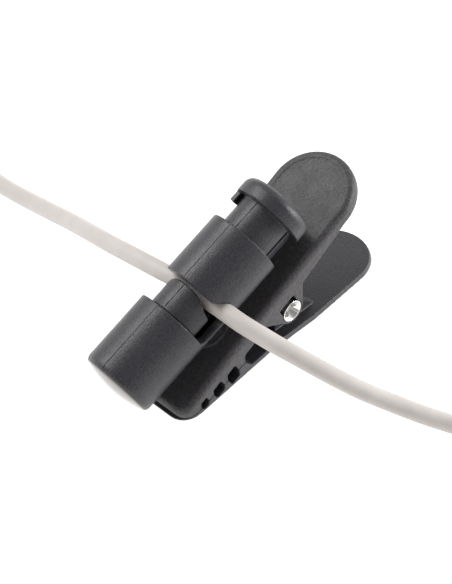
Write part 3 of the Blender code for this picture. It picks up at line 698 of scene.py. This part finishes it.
def make_plunger(mat):
    high = CAP[1]
    fillet = 1.3 * MM
    profile = [(0, high), (BARREL_R - fillet, high)]
    profile += arc((BARREL_R - fillet, high - fillet), fillet, 90, 0, 12)[1:]
    profile += [(BARREL_R, CAP[0]), (SHAFT_R, CAP[0])]
    profile += [(SHAFT_R, 10.6 * MM), (SHAFT_R - 0.3 * MM, 10.3 * MM)]
    profile += [(1.95 * MM, 10.3 * MM), (1.95 * MM, 8.9 * MM), (1.65 * MM, 8.6 * MM), (0, 8.6 * MM)]
    plunger = turned("plunger_hook", profile, "a", (0, 0, 0))
    cradle = [(14.66, 4.5), (14.66, 3.4), (14.4, 2.85), (14.0, 2.15), (13.65, 1.45), (13.4, 0.4)]
    cradle += [(13.35, -0.4), (13.8, -1.15), (14.4, -1.4), (20.6, -1.4), (20.9, -1.1), (20.9, 4.5)]
    notch = plate("lead_notch", [(a * MM, u * MM) for a, u in cradle], -5 * MM, 5 * MM, "y")
    web = 2.6 * MM
    below = -0.3 * MM
    sides = [
        block(f"web_side_{side}", (10 * MM, low, -5 * MM), (20.9 * MM, high_y, below))
        for side, low, high_y in (("left", web, 5 * MM), ("right", -5 * MM, -web))
    ]
    grooves = [
        block(f"guide_groove_{side}", (20 * MM, low, -0.6 * MM), (CAP[0] - GAP, high_y, -0.15 * MM))
        for side, low, high_y in (("left", 3.25 * MM, 5 * MM), ("right", -5 * MM, -3.25 * MM))
    ]
    key = block("key", (10.7 * MM, -web, -3.38 * MM), (CAP[0] + 0.5 * MM, web, -2.4 * MM))
    prong = block("prong", (26.7 * MM, 3.55 * MM, 1.5 * MM), (CAP[0] + 0.3 * MM, 4.2 * MM, 2.5 * MM))
    plunger = join(cut(plunger, notch, *sides, *grooves), key, prong)
    plunger = moulded(plunger, 80000)
    ridges = [
        parting_line("hook_line", (10.9 * MM, 14.5 * MM), SHAFT_R),
        parting_line("shaft_line", (SLEEVE_END + 0.1 * MM, CAP[0]), SHAFT_R),
    ]
    plunger = with_parts(plunger, *ridges)
    return finish_piece(plunger, mat, "plunger", GRIP, ["plunger"])


def make_plunger_spring(mat):
    gauge, radius, turns, per_turn = 0.24 * MM, 2.75 * MM, 6, 32
    low, high = CUP_FLOOR + gauge + 0.05 * MM, 10.3 * MM - gauge - 0.05 * MM
    points = []
    for i in range(turns * per_turn + 1):
        share = i / (turns * per_turn)
        turn = math.tau * turns * share
        points.append((low + (high - low) * share, radius * math.cos(turn), radius * math.sin(turn)))
    spring = applied(wire("grip_spring", points, gauge, 3))
    finish_piece(spring, mat, "grip", GRIP, ["plunger_spring"])
    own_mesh(spring)


# The clip


def contact(a):
    """Height of the plane where the two jaws meet."""
    return -7.98 * MM - (a - 1.9 * MM) * CONTACT_SLOPE


def top_face(a):
    """Height of the upper lever's top."""
    return -6.25 * MM + (a - 1.9 * MM) * TOP_SLOPE


def outer_face(a):
    """Outer face of the lower lever: the jaw, then the handle."""
    jaw_slope, handle_slope, bend = 0.323, 0.488, 16.2 * MM
    if a < bend:
        return -9.15 * MM - (a - 4.0 * MM) * jaw_slope
    return outer_face(bend - 1e-9) - (a - bend) * handle_slope


def upper_side():
    """Side outline of the upper lever, jaw grooves included."""
    tip, end = UPPER_LEVER
    line = [(tip, top_face(tip)), (tip, contact(tip))]
    for low, high in GROOVES:
        depth = 0.95 * MM - 0.02 * (12 * MM - low)
        slant = 0.35 * MM
        line += [(low, contact(low)), (low + slant, contact(low) + depth)]
        line += [(high - 0.1 * MM, contact(low) + depth), (high, contact(high))]
    line += [(JAW_END, contact(JAW_END)), (JAW_END + 0.6 * MM, -8.6 * MM), (18.5 * MM, -8.55 * MM)]
    line += [(25.0 * MM, -8.45 * MM), (33.9 * MM, -7.3 * MM), (end, -6.9 * MM), (end, top_face(end))]
    return line


def ear_side():
    """Side outline of the upper lever's ears, round under the pin."""
    line = [(17.9 * MM, -7.9 * MM), (17.9 * MM, -8.5 * MM), (19.9 * MM, -11.3 * MM)]
    line += arc(PIN, 1.95 * MM, 205, 340, 20)
    line += [(25.2 * MM, -8.4 * MM), (25.2 * MM, -7.9 * MM)]
    return line


def lever_plan(tip, corner, end, half_end):
    """Plan outline: a jaw with round corners, and a handle with a half-round end."""
    half = LEVER_HALF
    line = arc((tip + corner, -half + corner), corner, 180, 270, 12)
    line += [(24 * MM, -half)]
    line += arc((end - half_end, 0), half_end, -88, 88, 64)
    line += [(24 * MM, half)]
    line += arc((tip + corner, half - corner), corner, 90, 180, 12)
    return line


def make_upper_lever(mat):
    half = LEVER_HALF
    lever = plate("upper_lever_face", upper_side(), -half - MM, half + MM, "y")
    plan = lever_plan(UPPER_LEVER[0], 1.9 * MM, UPPER_LEVER[1] - 0.1 * MM, half)
    lever = keep_inside(lever, plate("upper_plan", plan, -20 * MM, 5 * MM, "u"))
    soften(lever, lambda co: abs(co.z - top_face(co.x)) < 0.02 * MM, 0.95 * MM, 10)
    pad = rod("swivel_pad", "u", (POST_A, 0, 0), 3.3 * MM, -7 * MM, FOOT_BOTTOM - 0.35 * MM)
    ears = []
    for side, low, high in (("right", -half, -EAR_INNER), ("left", EAR_INNER, half)):
        ears.append(plate(f"ear_{side}", ear_side(), low + 0.01 * MM, high - 0.01 * MM, "y"))
    hole = rod("pin_hole", "y", (PIN[0], 0, PIN[1]), PIN_R + GAP, -8 * MM, 8 * MM)
    reach = 1.4 * MM
    slots = [
        block(f"ear_slot_{side}", (PIN[0] - reach, low, PIN[1]), (PIN[0] + reach, high, -8.55 * MM))
        for side, low, high in (("right", -8 * MM, -EAR_INNER + MM), ("left", EAR_INNER - MM, 8 * MM))
    ]
    pocket = rod("spring_pocket", "y", (PIN[0], 0, PIN[1]), 2.75 * MM, -EAR_INNER, EAR_INNER)
    bore = rod("screw_hole", "u", (POST_A, 0, 0), 1.1 * MM, -10 * MM, -4 * MM)
    recess = rod("screw_recess", "u", (POST_A, 0, 0), 2.0 * MM, -12 * MM, -7.15 * MM)
    border, dip = 1.15 * MM, 0.07 * MM
    panel = arc((UPPER_LEVER[1] - 0.1 * MM - half, 0), half - border, -88, 88, 64)
    panel += [(17 * MM, half - border), (17 * MM, border - half)]
    tread = plate("panel", panel, -dip, 2 * MM, "u")
    tilt = Matrix.Rotation(-math.atan(TOP_SLOPE), 4, "Y")
    tread.data.transform(Matrix.Translation((0, 0, top_face(0))) @ tilt)
    lever = cut(join(lever, pad, *ears), hole, *slots, pocket, bore, recess, tread)
    lever = moulded(lever, 110000)
    return finish_piece(lever, mat, "clip", CLIP, ["upper_lever"])


def lower_side():
    """Side outline of the lower lever, its jaw grooves deeper towards the hinge."""
    tip, end = LOWER_LEVER
    wall = 1.05 * MM
    line = [(end, outer_face(end)), (end, outer_face(end) + wall)]
    line += [(17.4 * MM, outer_face(17.4 * MM) + wall)]
    line += [(13.2 * MM, outer_face(13.2 * MM) + 0.85 * MM), (JAW_END, contact(JAW_END) - GAP)]
    for index, (low, high) in reversed(list(enumerate(GROOVES))):
        depth = (0.4 + 0.3 * index) * MM
        slant = 0.35 * MM
        line += [(high, contact(high) - GAP), (high - slant, contact(high) - GAP - depth)]
        line += [(low + 0.1 * MM, contact(high) - GAP - depth), (low, contact(low) - GAP)]
    line += [(tip, contact(tip) - GAP), (tip, outer_face(tip)), (16.2 * MM, outer_face(16.2 * MM))]
    return line


def lower_ear_side():
    """Side outline of the lower lever's ears, round over the pin."""
    line = arc(PIN, 2.25 * MM, -10, 195, 24)
    line += [(18.6 * MM, outer_face(18.6 * MM) + 0.6 * MM), (25.4 * MM, outer_face(25.4 * MM) + 0.6 * MM)]
    return line


def make_lower_lever(mat):
    half = LEVER_HALF
    lever = plate("lower_lever_face", lower_side(), -half - MM, half + MM, "y")
    plan = lever_plan(LOWER_LEVER[0], 2.6 * MM, LOWER_LEVER[1] - 0.1 * MM, 5.4 * MM)
    lever = keep_inside(lever, plate("lower_plan", plan, -30 * MM, 0, "u"))
    ears = []
    for side, low, high in (("right", -LOWER_EAR[1], -LOWER_EAR[0]), ("left", *LOWER_EAR)):
        ears.append(plate(f"lower_ear_{side}", lower_ear_side(), low, high, "y"))
    hole = rod("lower_pin_hole", "y", (PIN[0], 0, PIN[1]), PIN_R + GAP, -6 * MM, 6 * MM)
    lever = cut(join(lever, *ears), hole)
    lever = moulded(lever, 110000)
    return finish_piece(lever, mat, "lower_lever", CLIP, ["lower_lever"])


def make_hinge_pin(mat):
    """A hollow rivet with flared, dished ends."""
    reach, mouth, throat, depth = LEVER_HALF - 0.02 * MM, PIN_R - 0.12 * MM, 0.55 * MM, 1.5 * MM
    profile = [(PIN_R, reach), (PIN_R, -reach), (mouth, -reach), (PIN_BORE_R, 0.35 * MM - reach)]
    profile += [(throat, depth - reach), (throat, reach - depth), (PIN_BORE_R, reach - 0.35 * MM)]
    profile += [(mouth, reach), (PIN_R, reach)]
    rounded = eased(profile, 0.3 * MM, 6)
    pin = turned("hinge_eyelet", rounded, "y", (PIN[0], 0, PIN[1]), PIN_SEGMENTS)
    return finish_piece(pin, mat, "clip", CLIP, ["hinge_pin"], 50)


def make_clip_spring(mat):
    """Torsion spring round the pin, with one leg under each handle."""
    gauge, radius, turns, per_turn = 0.25 * MM, 1.95 * MM, 6, 32
    half_width = 2.4 * MM
    up, down = math.radians(101), math.radians(-116 - 360 * turns)
    points = [(29.0 * MM, half_width, -8.55 * MM)]
    steps = int(turns * per_turn + per_turn * 0.6)
    for i in range(steps + 1):
        share = i / steps
        turn = up + (down - up) * share
        side = half_width * (1 - 2 * share)
        points.append((PIN[0] + radius * math.cos(turn), side, PIN[1] + radius * math.sin(turn)))
    leg_end = 25.2 * MM
    points.append((leg_end, -half_width, outer_face(leg_end) + 1.45 * MM))
    spring = applied(wire("jaw_spring", points, gauge, 3))
    spring.data.transform(CLIP)
    spring.data.materials.append(mat)
    spring.data.shade_smooth()
    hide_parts("clip_spring")
    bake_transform(spring)


# The lead


def coil_turns():
    """Centreline of the coil: three turns a layer, in and out again, each layer resting on the last."""
    sector = STEP_SECTOR
    moves = []
    for layer, height in enumerate(TURN_HEIGHTS):
        radii = TURN_RADII if layer % 2 == 0 else TURN_RADII[::-1]
        on_top = layer == len(TURN_HEIGHTS) - 1
        first_stay, last_stay = TOP_LAYER_STAYS if on_top else (math.tau - 2 * sector,) * 2
        for stay, radius in zip((first_stay, math.tau - sector, last_stay), radii, strict=True):
            moves.append((stay, radius, height))
    points = []
    turned_by = 0.0
    step = math.radians(6)
    for (stay, radius, height), after in zip(moves, [*moves[1:], None], strict=True):
        count = round(stay / step)
        points += [(turned_by + stay * i / count, radius, height) for i in range(count)]
        turned_by += stay
        if after is None:
            points.append((turned_by, radius, height))
            break
        count = round(sector / step)
        for i in range(count):
            share = i / count
            ease = share * share * (3 - 2 * share)
            reach = radius + (after[1] - radius) * ease
            points.append((turned_by + sector * share, reach, height + (after[2] - height) * ease))
        turned_by += sector
    turns = [(ENTRY_TURN - t, r, z) for t, r, z in points]
    return [COIL_CENTRE + Vector((r * math.cos(t), r * math.sin(t), z)) for t, r, z in turns]


def make_lead(mat):
    lead_in = smooth_route([Vector(p) * MM for p in LEAD_ROUTE], 1.2 * MM)
    tail = smooth_route([Vector(p) * MM for p in TAIL_ROUTE], 1.2 * MM)
    points = [*lead_in[:-1], *coil_turns(), *tail[1:]]
    lead = wire("lead", points, LEAD_R, 6)
    lead.data.materials.append(mat)
    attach(lead, "grip")
    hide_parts("mic_cable", "cable_coil", "cable_tail")


def dress_node(name, mat):
    """Procedural finish and a fine edge on a CAD piece that is shown as it is."""
    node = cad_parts[name]
    node.data.materials.clear()
    node.data.materials.append(mat)
    edge = node.modifiers.new("edge", "BEVEL")
    edge.width = 0.05 * MM
    edge.segments = 2
    edge.limit_method = "ANGLE"
    edge.angle_limit = math.radians(50)


make_camera()
make_light()
make_floor()

finishes = make_finishes()
make_grip_barrel(finishes["black"], finishes["gloss_and_painted_reflection"])
make_plunger(finishes["black"])
make_plunger_spring(finishes["spring_steel"])
make_upper_lever(finishes["satin"])
make_lower_lever(finishes["black"])
make_hinge_pin(finishes["bright_steel"])
make_clip_spring(finishes["spring_steel"])
make_lead(finishes["jacket"])
for node_name, finish in CAD_FINISHES.items():
    dress_node(node_name, finishes[finish])
